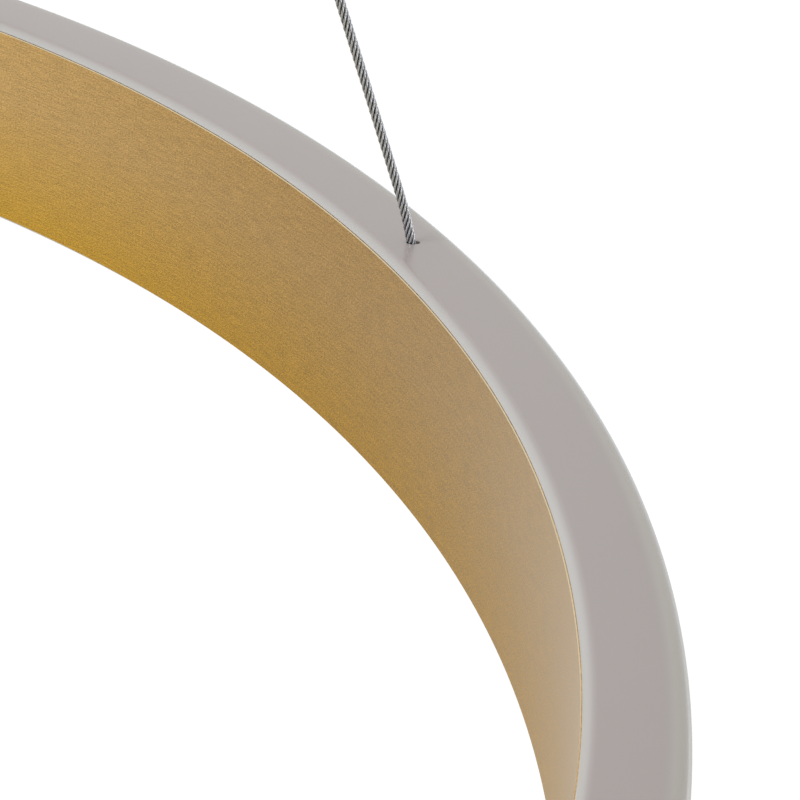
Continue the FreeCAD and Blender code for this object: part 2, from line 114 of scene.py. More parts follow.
class RingLightSizes(bpy.types.PropertyGroup):
    outer_radius: length_property("Ring radius", "Outer radius of the silicone skin", RING_HIGH[0])
    ring_width: length_property("Ring width", "From the band's face to the outside of the skin", 14 * MM)
    skin: length_property("Skin", "Thickness of the silicone skin", 1.2 * MM)
    corner: length_property("Corner", "Radius of the skin's outer corners", 2.2 * MM)
    lip: length_property("Lip", "Width of the slanted strip next to the band", 1.35 * MM)
    lip_gap: length_property("Lip gap", "From the band's face to the edge of the skin", 0.22 * MM)
    cut_edge: length_property("Cut edge", "Width of the bright chamfer on the band's edges", 0.13 * MM)
    wall: length_property("Band wall", "Thickness of the aluminium band", 1.5 * MM)
    seam: length_property("Seam", "Gap of the band's butt seam", 0.3 * MM)
    steps: IntProperty(name="Steps", description="Divisions round the ring", default=480, min=48)
    wire: length_property("Wire", "Diameter of the wire rope", 1.5 * MM)
    lay: length_property("Lay", "Length in which a strand goes round the rope once", 8.35 * MM)
    cover_radius: length_property("Canopy radius", "Outer radius of the canopy", COVER_HIGH[0])
    cover_corner: length_property("Canopy corner", "Radius of the canopy's lower edge", 6 * MM)
    cover_wall: length_property("Canopy wall", "Sheet thickness of the canopy", 1.0 * MM)


class RingLightColours(bpy.types.PropertyGroup):
    silicone: colour_property("Silicone", "The skin of the ring", "#A9A09D")
    gold: colour_property("Gold", "The anodised band", "#C0921C")
    # Painted highlight: the gold painted on the band towards its upper edge, where light from above grazes
    # it.
    painted_highlight_gold: colour_property("Pale gold", "The band towards its upper edge", "#BD9759")
    rope: colour_property("Wire rope", "The stainless wire", "#D4D7DF")
    coat: colour_property("Coat", "The canopy's powder coat", "#E4E2DE")


def sizes():
    return bpy.context.scene.ring_light_sizes


def colours():
    return bpy.context.scene.ring_light_colours


# Making and shaping pieces.


def choose(*pieces):
    """Leaves edit mode and selects these pieces alone, so that an operator acts on nothing else."""
    if bpy.context.mode != "OBJECT":
        bpy.ops.object.mode_set(mode="OBJECT")
    bpy.ops.object.select_all(action="DESELECT")
    for piece in pieces:
        piece.select_set(True)
    if pieces:
        bpy.context.view_layer.objects.active = pieces[0]


def edit(piece):
    choose(piece)
    bpy.ops.object.mode_set(mode="EDIT")


def outward():
    """Points all faces of the piece in edit mode outwards and leaves edit mode."""
    bpy.ops.mesh.select_all(action="SELECT")
    bpy.ops.mesh.normals_make_consistent(inside=False)
    bpy.ops.object.mode_set(mode="OBJECT")


def pick(kind, test):
    """In edit mode, selects the vertices, edges or faces whose middle and normal pass the test."""
    bpy.ops.mesh.select_all(action="DESELECT")
    bpy.ops.mesh.select_mode(type=kind)
    shape = bmesh.from_edit_mesh(bpy.context.edit_object.data)
    parts = {"VERT": shape.verts, "EDGE": shape.edges, "FACE": shape.faces}[kind]
    for part in parts:
        corners = [part] if kind == "VERT" else part.verts
        middle = sum((corner.co for corner in corners), Vector()) / len(corners)
        if test(middle, part):
            part.select_set(True)
    bmesh.update_edit_mesh(bpy.context.edit_object.data)


def named(piece, name):
    piece.name = name
    piece.data.name = name
    return piece


def draw(name, corners, rounds=()):
    """Draws an outline in the XZ plane, then rounds corners given as (number, reach, facets)."""
    choose()
    x, z = corners[0]
    bpy.ops.mesh.primitive_plane_add(size=MM, location=(x, 0, z))
    piece = named(bpy.context.object, name)
    bpy.ops.object.transform_apply(location=True)
    bpy.ops.object.mode_set(mode="EDIT")
    bpy.ops.mesh.select_mode(type="VERT")
    bpy.ops.mesh.merge(type="CENTER")
    for (x0, z0), (x1, z1) in zip(corners, corners[1:]):
        bpy.ops.mesh.extrude_vertices_move(TRANSFORM_OT_translate={"value": (x1 - x0, 0, z1 - z0)})
    for number, reach, facets in rounds:
        x, z = corners[number]
        pick("VERT", lambda place, part: abs(place.x - x) < SAME_PLACE and abs(place.z - z) < SAME_PLACE)
        bpy.ops.mesh.bevel(offset=reach, segments=facets, affect="VERTICES")
    return piece


def close_outline(first, last):
    """Joins the two ends of a drawn outline by an edge."""
    ends = [Vector((x, 0, z)) for x, z in (first, last)]
    pick("VERT", lambda place, part: min((place - end).length for end in ends) < SAME_PLACE)
    bpy.ops.mesh.edge_face_add()


def turn(steps, sweep=FULL_TURN, start=0.0):
    """Spins the drawn outline round Z and closes the shape where it meets itself."""
    bpy.ops.mesh.select_all(action="SELECT")
    bpy.ops.mesh.spin(steps=steps, angle=sweep, center=(0, 0, 0), axis=(0, 0, 1))
    bpy.ops.mesh.select_all(action="SELECT")
    bpy.ops.mesh.remove_doubles(threshold=SAME_PLACE)
    if sweep < FULL_TURN:
        pick("EDGE", lambda place, part: part.is_boundary)
        bpy.ops.mesh.edge_face_add()
    outward()
    if start:
        bpy.context.object.data.transform(Matrix.Rotation(start, 4, "Z"))


def turned(name, corners, rounds=(), steps=64):
    """A ring-shaped solid turned from a closed outline."""
    piece = draw(name, corners, rounds)
    close_outline(corners[0], corners[-1])
    turn(steps)
    return piece


def apply_modifiers(piece):
    choose(piece)
    for modifier in list(piece.modifiers):
        bpy.ops.object.modifier_apply(modifier=modifier.name)


def cut(piece, tool, operation="DIFFERENCE"):
    """Cuts a tool's shape from a piece, or keeps what both share, and removes the tool."""
    modifier = piece.modifiers.new("cut", "BOOLEAN")
    modifier.object = tool
    modifier.operation = operation
    modifier.solver = "EXACT"
    apply_modifiers(piece)
    bpy.data.meshes.remove(tool.data)
    return piece


def joined(name, parts):
    choose(*parts)
    bpy.ops.object.join()
    return named(parts[0], name)


def cylinder(name, radius, low, high, x=0.0, y=0.0, sides=48):
    """An upright cylinder between two heights."""
    choose()
    middle = (x, y, (low + high) / 2)
    bpy.ops.mesh.primitive_cylinder_add(vertices=sides, radius=radius, depth=high - low, location=middle)
    bpy.ops.object.transform_apply(location=True)
    return named(bpy.context.object, name)


def block(name, low, high):
    """A box between two corners."""
    choose()
    middle = [(a + b) / 2 for a, b in zip(low, high)]
    bpy.ops.mesh.primitive_cube_add(size=1, location=middle, scale=[b - a for a, b in zip(low, high)])
    bpy.ops.object.transform_apply(location=True, scale=True)
    return named(bpy.context.object, name)


def moved(piece, x=0.0, y=0.0, z=0.0, azimuth=0.0):
    """Puts a piece in its place: a shift, then a turn round the ring's axis."""
    piece.data.transform(Matrix.Rotation(azimuth, 4, "Z") @ Matrix.Translation((x, y, z)))
    return piece


def round_uprights(piece, offset, facets):
    """Rounds the upright edges of a box, and leaves edit mode."""
    edit(piece)
    pick("EDGE", lambda place, part: abs((part.verts[0].co - part.verts[1].co).normalized().z) > 0.9)
    bpy.ops.mesh.bevel(offset=offset, segments=facets)
    bpy.ops.object.mode_set(mode="OBJECT")
    return piece


def copied(piece, name, azimuth):
    """A copy with its own mesh, turned round the ring's axis."""
    twin = piece.copy()
    twin.data = piece.data.copy()
    bpy.context.collection.objects.link(twin)
    twin.data.transform(Matrix.Rotation(azimuth, 4, "Z"))
    return named(twin, name)


def on_wires(piece, name):
    """A piece made at the first wire, with its copies at the other two."""
    twins = [copied(piece, f"{name}_{n}", azimuth) for n, azimuth in enumerate(WIRE_AZIMUTHS[1:], 2)]
    return [piece, *twins]


def lens(name, radius, edge, low, high, slope):
    """A turned body whose two ends narrow to the edge's radius over a height of slope."""
    upright = [(radius, low + slope), (radius, high - slope)]
    piece = draw(name, [(0, low), (edge, low), *upright, (edge, high), (0, high)])
    turn(72)
    return piece


def hexagon(name, across_flats, low, high):
    """A hexagonal bar whose corners are turned off at both ends, as on a nut."""
    reach = across_flats / math.sqrt(3)
    bar = cylinder(name, reach, low, high, sides=6)
    return cut(bar, lens("lens", reach * 1.01, across_flats * 0.475, low, high, 0.8 * MM), "INTERSECT")


def threaded(name, radius, pitch, low, high):
    """A rod with a right-handed thread and chamfered ends."""
    depth = 0.55 * pitch
    start = low - pitch
    rod = draw(name, [(radius - depth, start), (radius, start + pitch / 2), (radius - depth, start + pitch)])
    bpy.ops.object.mode_set(mode="OBJECT")
    screw = rod.modifiers.new("screw", "SCREW")
    screw.screw_offset = pitch
    screw.iterations = math.ceil((high - low) / pitch) + 2
    screw.steps = screw.render_steps = 36
    apply_modifiers(rod)
    edit(rod)
    # The turns are welded together along the root, so that the rod is closed.
    bpy.ops.mesh.select_all(action="SELECT")
    bpy.ops.mesh.remove_doubles(threshold=SAME_PLACE)
    for height, way in ((low, -1), (high, 1)):
        bpy.ops.mesh.select_all(action="SELECT")
        bpy.ops.mesh.bisect(plane_co=(0, 0, height), plane_no=(0, 0, way), use_fill=True, clear_outer=True)
    outward()
    return cut(rod, lens("lens", radius * 1.01, radius - depth, low, high, depth), "INTERSECT")


def softened(piece, width, facets=2):
    """Rounds all sharp edges of a piece."""
    bevel = piece.modifiers.new("bevel", "BEVEL")
    bevel.width = width
    bevel.segments = facets
    bevel.limit_method = "ANGLE"
    bevel.angle_limit = math.radians(40)
    apply_modifiers(piece)
    return piece


def neck_nut(name):
    """The nut that clamps a gripper or the outlet in the cover."""
    low = COVER_FLOOR + sizes().cover_wall
    nut = hexagon(name, 14 * MM, low, low + 4 * MM)
    return cut(nut, cylinder("bore", 5.05 * MM, low - MM, low + 5 * MM))


def cross_recess(head, reach, half, low, high):
    """Cuts the cross for the screwdriver's tip."""
    cut(head, block("blade", (-reach, -half, low), (reach, half, high)))
    cut(head, block("blade", (-half, -reach, low), (half, reach, high)))


def sideways(piece, azimuth):
    """Lays an upright piece on its side at a cover screw's height, so that it points outward."""
    piece.data.transform(Matrix.Rotation(math.pi / 2, 4, "Y"))
    return moved(piece, z=SIDE_SCREW_Z, azimuth=azimuth)


def finish(piece, look, body="fixture", nodes=(), degrees=30):
    """Shades a piece, gives it its finish, and says what it stands for and what it rides on."""
    choose(piece)
    bpy.ops.object.shade_smooth_by_angle(angle=math.radians(degrees))
    piece.data.materials.clear()
    piece.data.materials.append(FINISHES[look])
    if nodes:
        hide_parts(*nodes)
    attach(piece, body)
    return piece


# Materials.


def connect(node, inputs):
    """Gives sockets their values: plain ones, a node's first output in use, or a chosen output."""
    for key, value in inputs.items():
        if isinstance(value, bpy.types.Node):
            value = next(output for output in value.outputs if output.enabled)
        if isinstance(value, bpy.types.NodeSocket):
            node.id_data.links.new(value, node.inputs[key])
        else:
            node.inputs[key].default_value = value
    return node


def add_node(tree, kind, inputs=None, **settings):
    """Adds a shader node with its settings, and then its inputs by socket."""
    new = tree.nodes.new("ShaderNode" + kind)
    for key, value in settings.items():
        setattr(new, key, value)
    return connect(new, inputs or {})


def new_material(name, colour, **sockets):
    """A material with plain values on the shader's own sockets, and what adds a node to it."""
    made = bpy.data.materials.new(name)
    made.use_nodes = True
    made.diffuse_color = (*colour, 1)
    shader = made.node_tree.nodes["Principled BSDF"]
    plain = {socket.replace("_", " "): value for socket, value in sockets.items()}
    connect(shader, {"Base Color": (*colour, 1), **plain})
    return made, partial(add_node, made.node_tree), shader


def satin_silicone():
    """Moulded silicone rubber with a satin face and a fine even grain, which goes paler at a flat angle; its
    lip and outer corner are painted paler as a painted highlight and a painted sheen.
    """
    colour = colours().silicone
    made, add, shader = new_material(
        "satin_silicone", colour, Roughness=0.24, IOR=1.5, Sheen_Weight=0.12, Sheen_Roughness=0.4
    )
    place = add("TexCoord").outputs["Object"]
    cloud = add("TexNoise", {"Vector": place, "Scale": 1 / (35 * MM), "Detail": 2.0})
    darker = tuple(c * 0.955 for c in colour)
    clouded = add("Mix", {"Factor": cloud, "A": (*colour, 1), "B": (*darker, 1)}, data_type="RGBA")
    # Painted light: the skin is painted paler where no metal lies under it, with a painted highlight on the
    # slanted lip and a painted sheen from the outer corner on, where the light grazes it.
    flat = add("VectorMath", {0: place, 1: (1, 1, 0)}, operation="MULTIPLY")
    radius = add("VectorMath", {0: flat}, operation="LENGTH")
    outer = sizes().outer_radius
    inner = outer - sizes().ring_width
    # Painted highlight: the slanted lip is painted paler.
    lip = {"Value": radius, "From Min": inner + 0.4 * MM, "From Max": inner + 2.0 * MM}
    lip = add("MapRange", {**lip, "To Min": 1.0, "To Max": 0.0}, interpolation_type="SMOOTHSTEP")
    tone = add("Mix", {"Factor": lip, "A": clouded, "B": (*linear("#B4B3B0"), 1)}, data_type="RGBA")
    # Painted sheen: the outer corner and wall are painted paler.
    wall = {"Value": radius, "From Min": outer - 3.8 * MM, "From Max": outer - 1.4 * MM}
    wall = add("MapRange", wall, interpolation_type="SMOOTHSTEP")
    tone = add("Mix", {"Factor": wall, "A": tone, "B": (*linear("#B0ABA3"), 1)}, data_type="RGBA")
    grain = add("TexNoise", {"Vector": place, "Scale": 1 / (0.35 * MM), "Detail": 3.0})
    bump = add("Bump", {"Height": grain, "Strength": 0.06, "Distance": 0.05 * MM})
    connect(shader, {"Base Color": tone, "Normal": bump})
    return made


def streaks(add, place, length, width):
    """Noise drawn out along the band into streaks of about that size. It goes from 0 to 1 about evenly."""
    stretch = add("Mapping", {"Vector": place, "Scale": (1 / length, 1 / width, 1)})
    noise = add("TexNoise", {"Vector": stretch, "Scale": 1.0, "Detail": 1.0}, noise_dimensions="2D")
    return add("MapRange", {"Value": noise, "From Min": 0.3, "From Max": 0.7})


def brushed_gold():
    """Gold anodised aluminium, brushed round the ring: its scratches stretch each reflection up and down."""
    colour = colours().gold
    made, add, shader = new_material(
        "brushed_gold_anodised_aluminium", colour, Metallic=1.0, Roughness=0.36, Anisotropic=0.55,
        Coat_Weight=0.35, Coat_Roughness=0.4, Sheen_Weight=0.2, Sheen_Roughness=0.3,
    )
    place = add("UVMap", uv_map="around")
    # The scratches are about 0.05 mm wide on the real band and are drawn wider, so that they show.
    fine = streaks(add, place, 0.5 * MM, 0.18 * MM)
    long = streaks(add, place, 5 * MM, 0.3 * MM)
    both = add("Mix", {"Factor": 0.3, "A": fine, "B": long}, data_type="FLOAT")
    # Painted highlight: the band is painted a little paler towards its upper edge, where the light from above
    # grazes it.
    height = add("SeparateXYZ", {"Vector": place}).outputs["Y"]
    upper = add("MapRange", {"Value": height, "From Min": RING_LOW[2], "From Max": RING_MIDDLE + 6 * MM})
    pale = (*colours().painted_highlight_gold, 1)
    tone = add("Mix", {"Factor": upper, "A": (*colour, 1), "B": pale}, data_type="RGBA")
    depth = add("MapRange", {"Value": both, "To Min": 0.66, "To Max": 1.34})
    tone = add("VectorMath", {0: tone, "Scale": depth}, operation="SCALE")
    rough = add("MapRange", {"Value": both, "To Min": 0.3, "To Max": 0.44})
    bump = add("Bump", {"Height": both, "Strength": 0.9, "Distance": 0.03 * MM})
    along = add("Tangent", direction_type="UV_MAP", uv_map="around")
    connect(shader, {"Base Color": tone, "Roughness": rough, "Normal": bump, "Tangent": along})
    return made


def stranded_steel():
    """Drawn stainless wire, laid up into strands, with painted highlights on the crowns and painted shade in
    the hollows between the wires.
    """
    colour = colours().rope
    made, add, shader = new_material("stranded_stainless_steel", colour, Metallic=1.0, Roughness=0.17)
    # One wave across each of the six wires that show in a strand. It bumps the wires, and paints shade
    # between them and a highlight on each.
    across = add("SeparateXYZ", {"Vector": add("UVMap", uv_map="wires")})
    phase = add("Math", {0: across, 1: FULL_TURN}, operation="MULTIPLY")
    wave = add("Math", {0: phase}, operation="COSINE")
    height = add("MapRange", {"Value": wave, "From Min": -1.0, "From Max": 0.6})
    # The hollows between the strands are painted dark, as painted shade together with drawing soap and dust,
    # and the crowns are painted bright as a painted highlight.
    around = add("SeparateXYZ", {"Vector": add("UVMap", uv_map="strands")})
    angle = add("Math", {0: around, 1: FULL_TURN}, operation="MULTIPLY")
    crown = add("Math", {0: angle}, operation="COSINE")
    part = {"Value": crown, "From Min": 0.15, "From Max": 0.95}
    crown = add("MapRange", part, interpolation_type="SMOOTHSTEP")
    shade_and_dust_hollow = tuple(c * 0.3 for c in colour)
    # Painted shade between the wires of a strand.
    gap = tuple(c * 0.5 for c in colour)
    painted_crown_highlight = (0.93, 0.96, 1.0, 1)
    wires = add("Mix", {"Factor": height, "A": (*gap, 1), "B": painted_crown_highlight}, data_type="RGBA")
    tone = add("Mix", {"Factor": crown, "A": (*shade_and_dust_hollow, 1), "B": wires}, data_type="RGBA")
    bump = add("Bump", {"Height": wave, "Strength": 0.8, "Distance": 0.04 * MM})
    connect(shader, {"Base Color": tone, "Normal": bump})
    return made


def powder_coat():
    """White powder coat on spun steel: satin, with the faint orange peel of a baked coat."""
    made, add, shader = new_material("white_powder_coat", colours().coat, Roughness=0.4)
    place = add("TexCoord").outputs["Object"]
    peel = add("TexNoise", {"Vector": place, "Scale": 1 / (1.6 * MM), "Detail": 2.0})
    bump = add("Bump", {"Height": peel, "Strength": 0.12, "Distance": 0.1 * MM})
    rough = add("MapRange", {"Value": peel, "To Min": 0.34, "To Max": 0.48})
    connect(shader, {"Roughness": rough, "Normal": bump})
    return made


def speckled(name, code, other, size, metallic, rough_low, rough_high, depth=0.02, stretch=(1, 1, 1)):
    """A material whose colour and roughness vary in patches of a real size, with bumps of a depth in mm."""
    first, second = linear(code), linear(other)
    made, add, shader = new_material(name, first, Metallic=metallic)
    place = add("TexCoord").outputs["Object"]
    place = add("Mapping", {"Vector": place, "Scale": [s / size for s in stretch]})
    patches = add("TexNoise", {"Vector": place, "Scale": 1.0, "Detail": 3.0})
    tone = add("Mix", {"Factor": patches, "A": (*first, 1), "B": (*second, 1)}, data_type="RGBA")
    rough = add("MapRange", {"Value": patches, "To Min": rough_low, "To Max": rough_high})
    bump = add("Bump", {"Height": patches, "Strength": 0.3, "Distance": depth * MM})
    connect(shader, {"Base Color": tone, "Roughness": rough, "Normal": bump})
    return made


FINISHES = {}


def make_finishes():
    """All materials, each named for what it is on the real light. Sizes are those of their grain."""
    FINISHES["silicone"] = satin_silicone()
    FINISHES["gold"] = brushed_gold()
    FINISHES["rope"] = stranded_steel()
    FINISHES["coat"] = powder_coat()
    plain = {
        # The band's edges, cut after anodising: paler than the face, and bright.
        "cut_edge": ("bright_cut_gold_edge", "#DFD1B4", "#CFBD98", 0.6 * MM, 1.0, 0.16, 0.26, 0.01),
        # Nickel plate on turned brass: bright and slightly warm, with faint turning marks.
        "nickel": ("nickel_plated_brass", "#C9C4BA", "#BDB8AE", 0.5 * MM, 1.0, 0.2, 0.3, 0.01, (1, 1, 12)),
        # Zinc plate on sheet steel: bluish grey, with soft spangle.
        "zinc": ("zinc_plated_steel", "#B4B8BC", "#9FA4AA", 6 * MM, 1.0, 0.32, 0.5),
        # Aluminium as it leaves the extrusion press or the saw.
        "aluminium": ("mill_finish_aluminium", "#C6C7C8", "#B2B4B6", 2 * MM, 1.0, 0.35, 0.5),
        # Hardened steel, ground: darker and finer.
        "hardened": ("hardened_steel", "#8F8E8C", "#7A7977", 1 * MM, 1.0, 0.28, 0.4),
        # Spring steel, drawn and left bare.
        "spring": ("spring_steel", "#A5A6A8", "#8E8F92", 1 * MM, 1.0, 0.25, 0.38),
        # Moulded ABS: even, with a fine spark-eroded grain.
        "plastic": ("moulded_white_abs", "#E3E1DB", "#DCDAD3", 0.4 * MM, 0.0, 0.42, 0.55, 0.03),
        # Solder mask on a flexible board, and the yellow phosphor on its chips.
        "board": ("solder_mask_on_flexible_board", "#E8E6DC", "#DFDDD0", 3 * MM, 0.0, 0.35, 0.5),
        "phosphor": ("led_phosphor", "#E2C54A", "#D9B93F", 0.3 * MM, 0.0, 0.4, 0.6),
        # Closed-cell foam: matt, pitted by its cells.
        "foam": ("grey_polyethylene_foam", "#6E6E70", "#58585B", 0.5 * MM, 0.0, 0.8, 0.95, 0.2),
    }
    for key, look in plain.items():
        FINISHES[key] = speckled(*look)


# Operators, one for each group of pieces.


class RINGLIGHT_OT_finishes(bpy.types.Operator):
    """Makes the materials"""

    bl_idname = "ringlight.finishes"
    bl_label = "Finishes"

    def execute(self, context):
        make_finishes()
        return {"FINISHED"}


def wire_points(azimuth):
    """The route of a wire: upright in the gripper, leaning out to the ring, and upright at its anchor."""
    top = Vector((GRIPPER_CIRCLE, 0, -10 * MM))
    upper_bend = Vector((GRIPPER_CIRCLE, 0, -56.5 * MM))
    lower_bend = Vector((ANCHOR_CIRCLE, 0, -571.5 * MM))
    end = Vector((ANCHOR_CIRCLE, 0, -578.7 * MM))
    run = (lower_bend - upper_bend).normalized()
    # The upper bend starts and ends six diameters from the gripper's mouth.
    reach = 6 * sizes().wire
    # The lower bend is eased over the last 30 mm, as the tight wire leaves the ring in a gentle curve.
    eased = [Vector((286.8 * MM, 0, -550 * MM)), Vector((293 * MM, 0, -568 * MM))]
    points = [top, upper_bend + Vector((0, 0, reach)), upper_bend, upper_bend + run * reach, *eased, end]
    around = Matrix.Rotation(azimuth, 3, "Z")
    return [around @ point for point in points]


def wire_line(name, points):
    """Points read from one smooth spline through the route."""
    line = bpy.data.curves.new(name, "CURVE")
    line.dimensions = "3D"
    line.resolution_u = 12
    spline = line.splines.new("NURBS")
    spline.points.add(len(points) - 1)
    for point, place in zip(spline.points, points):
        point.co = (*place, 1)
    spline.order_u = 3
    spline.use_endpoint_u = True
    holder = bpy.data.objects.new(name, line)
    bpy.context.collection.objects.link(holder)
    bpy.context.view_layer.update()
    shape = bpy.data.meshes.new_from_object(holder.evaluated_get(bpy.context.evaluated_depsgraph_get()))
    places = [vertex.co.copy() for vertex in shape.vertices]
    bpy.data.meshes.remove(shape)
    bpy.data.objects.remove(holder)
    return places


def evenly(places, spacing):
    """The same line in steps of about one length, with each step's direction."""
    steps = [(b - a).length for a, b in zip(places, places[1:])]
    count = round(sum(steps) / spacing)
    spacing = sum(steps) / count
    made, here, walked = [], 0, 0.0
    for i in range(count + 1):
        want = min(i * spacing, sum(steps))
        while here < len(steps) - 1 and walked + steps[here] < want:
            walked += steps[here]
            here += 1
        way = (places[here + 1] - places[here]).normalized()
        made.append((places[here] + way * (want - walked), way))
    return made


def strands(name, line, azimuth):
    """Six strands laid right-handed round a core, each a tube. Its two UV maps go round each strand."""
    wire = sizes().wire
    lay = sizes().lay
    step = wire / 3
    # The strands' crowns stand a little proud of the rope's nominal size.
    strand_radius = 0.178 * wire
    centre_radius = 0.352 * wire
    sides = 8
    outer_strands = 6
    # The wires of a strand turn once in about half the rope's lay, and six of them show.
    wire_lay = 0.55 * lay
    shown_wires = 6
    side = Matrix.Rotation(azimuth, 3, "Z") @ Vector((0, 1, 0))
    places, faces, wires, crowns = [], [], [], []
    for strand in range(outer_strands + 1):
        first = len(places)
        for i, (place, way) in enumerate(line):
            walked = i * step
            across = way.cross(side).normalized()
            turn_by = strand * FULL_TURN / outer_strands - walked * FULL_TURN / lay
            out = across * math.cos(turn_by) + side * math.sin(turn_by)
            centre = place + out * centre_radius if strand < outer_strands else place
            for j in range(sides):
                angle = j * FULL_TURN / sides
                flat = out * math.cos(angle) + way.cross(out) * math.sin(angle)
                places.append(centre + flat * strand_radius)
            if not i:
                continue
            low = first + (i - 1) * sides
            high = low + sides
            twist = shown_wires * walked / wire_lay
            before = shown_wires * (walked - step) / wire_lay
            for j in range(sides):
                k = (j + 1) % sides
                faces.append((low + j, low + k, high + k, high + j))
                a, b = j / sides, (j + 1) / sides
                for share, turned_by in (a, before), (b, before), (b, twist), (a, twist):
                    wires.append((shown_wires * share + turned_by, walked))
                    crowns.append((share, walked))
        last = first + (len(line) - 1) * sides
        faces.append(tuple(reversed(range(first, first + sides))))
        faces.append(tuple(range(last, last + sides)))
        for uvs in (wires, crowns):
            uvs += [(0.0, 0.0)] * (2 * sides)
    shape = bpy.data.meshes.new(name)
    shape.from_pydata(places, [], faces)
    for layer, uvs in ("wires", wires), ("strands", crowns):
        for loop, uv in zip(shape.uv_layers.new(name=layer).data, uvs):
            loop.uv = uv
    piece = bpy.data.objects.new(name, shape)
    bpy.context.collection.objects.link(piece)
    return piece


class RINGLIGHT_OT_wires(bpy.types.Operator):
    """Lays up the three wire ropes along their routes"""

    bl_idname = "ringlight.wires"
    bl_label = "Suspension wires"

    def execute(self, context):
        for n, azimuth in enumerate(WIRE_AZIMUTHS, 1):
            points = wire_points(azimuth)
            line = evenly(wire_line(f"wire_route_{n}", points), sizes().wire / 3)
            piece = strands(f"wire_rope_{n}", line, azimuth)
            finish(piece, "rope", nodes=[f"suspension_wire_{n}"], degrees=60)
        return {"FINISHED"}


def at_wires(name, tool):
    """A cutting body for each wire, made from the first wire's."""
    return joined(name, [tool] + [copied(tool, name, azimuth) for azimuth in WIRE_AZIMUTHS[1:]])


def wedge(name, inner, outer, inner_width, outer_width, low, high):
    """An upright cutting body at the first wire that narrows outwards, with rounded corners."""
    tool = block(name, (inner, -inner_width / 2, low), (outer, inner_width / 2, high))
    edit(tool)
    pick("VERT", lambda place, part: place.x > (inner + outer) / 2)
    bpy.ops.transform.resize(value=(1, outer_width / inner_width, 1), center_override=(outer, 0, low))
    return round_uprights(tool, 0.4 * outer_width, 4)


def lead_hole(low, high):
    hole = cylinder("lead_hole", LEAD_HOLE_RADIUS, low, high, x=LEAD_HOLE_CIRCLE)
    return moved(hole, azimuth=LEAD_HOLE_AZIMUTH)


def mirrored(upper):
    """A ring's outline from its upper half, given as radii and heights over the ring's middle."""
    lower = [(r, -z) for r, z in reversed(upper)]
    return [(r, RING_MIDDLE + z) for r, z in upper + lower]


class RINGLIGHT_OT_skin(bpy.types.Operator):
    """Makes the silicone skin of the ring, with its slanted lips, round corners and slits"""

    bl_idname = "ringlight.skin"
    bl_label = "Silicone skin"

    def execute(self, context):
        s = sizes()
        outer = s.outer_radius
        inner = outer - s.ring_width
        edge = inner + s.lip_gap
        # A narrow shadow gap runs under the lip, where it meets the band's edge.
        foot = edge + 0.35 * MM
        half = RING_TOP - RING_MIDDLE
        under = half - s.skin
        rim = under + 0.06 * MM
        back = (outer - s.skin, under)
        lip = [(foot, under), (foot, rim), (edge, rim), (edge + s.lip, half)]
        corners = mirrored([back, *lip, (outer, half)])
        inside, tip, fold = (s.corner - s.skin, 4), (0.04 * MM, 2), (0.6 * MM, 6)
        rounds = [(0, *inside), (3, *tip), (4, *fold), (5, s.corner, 10)]
        rounds += [(6, s.corner, 10), (7, *fold), (8, *tip), (11, *inside)]
        piece = turned("silicone_skin", corners, rounds, s.steps)
        # The soft skin hugs each wire and is drawn open beside it by the wire's pull, along a slanted slit.
        low, high = RING_TOP - 3 * MM, RING_TOP + MM
        wire_at = 292.36 * MM
        cut(piece, at_wires("wire_hole", cylinder("wire_hole", 0.9 * MM, low, high, x=wire_at)))
        slit = wedge("wire_slit", 292.2 * MM, 293.75 * MM, 1.5 * MM, 1.15 * MM, low, high)
        slant = Matrix.Rotation(math.radians(-26), 4, "Z")
        centre = Matrix.Translation((wire_at, 0, 0))
        slit.data.transform(centre @ slant @ centre.inverted())
        cut(piece, at_wires("wire_slit", slit))
        cut(piece, lead_hole(low, high))
        finish(piece, "silicone", nodes=["silicone_sleeve"], degrees=40)
        return {"FINISHED"}


class RINGLIGHT_OT_band(bpy.types.Operator):
    """Makes the brushed aluminium band, a channel closed by one butt seam"""

    bl_idname = "ringlight.band"
    bl_label = "Gold band"

    def execute(self, context):
        s = sizes()
        inner = s.outer_radius - s.ring_width
        flange = s.outer_radius - s.skin - 1.0 * MM
        half = RING_TOP - RING_MIDDLE - s.skin
        under = half - s.wall
        corners = mirrored([(inner + s.wall, under), (flange, under), (flange, half), (inner, half)])
        # The flanges' tips are rounded, and the edges of the band's face are cut to a fine bright chamfer.
        rounds = [(2, 0.8 * MM, 3), (3, s.cut_edge, 1), (4, s.cut_edge, 1), (5, 0.8 * MM, 3)]
        piece = draw("gold_band", corners, rounds)
        close_outline(corners[0], corners[-1])
        gap = s.seam / inner
        turn(s.steps, FULL_TURN - gap, math.pi + gap / 2)
        around = piece.data.uv_layers.new(name="around")
        for loop in piece.data.loops:
            place = piece.data.vertices[loop.vertex_index].co
            around.data[loop.index].uv = (math.atan2(place.y, place.x) * inner, place.z)
        low, high = RING_TOP - 4 * MM, RING_TOP + MM
        slit = wedge("wire_slit", 291.52 * MM, 295.22 * MM, 2.2 * MM, 2.2 * MM, low, high)
        cut(piece, at_wires("wire_slit", slit))
        cut(piece, lead_hole(low, high))
        finish(piece, "gold", nodes=["aluminium_band"], degrees=40)
        piece.data.materials.append(FINISHES["cut_edge"])
        for face in piece.data.polygons:
            if face.center.xy.length < inner + s.cut_edge and 0.5 < abs(face.normal.z) < 0.9:
                face.material_index = 1
        return {"FINISHED"}


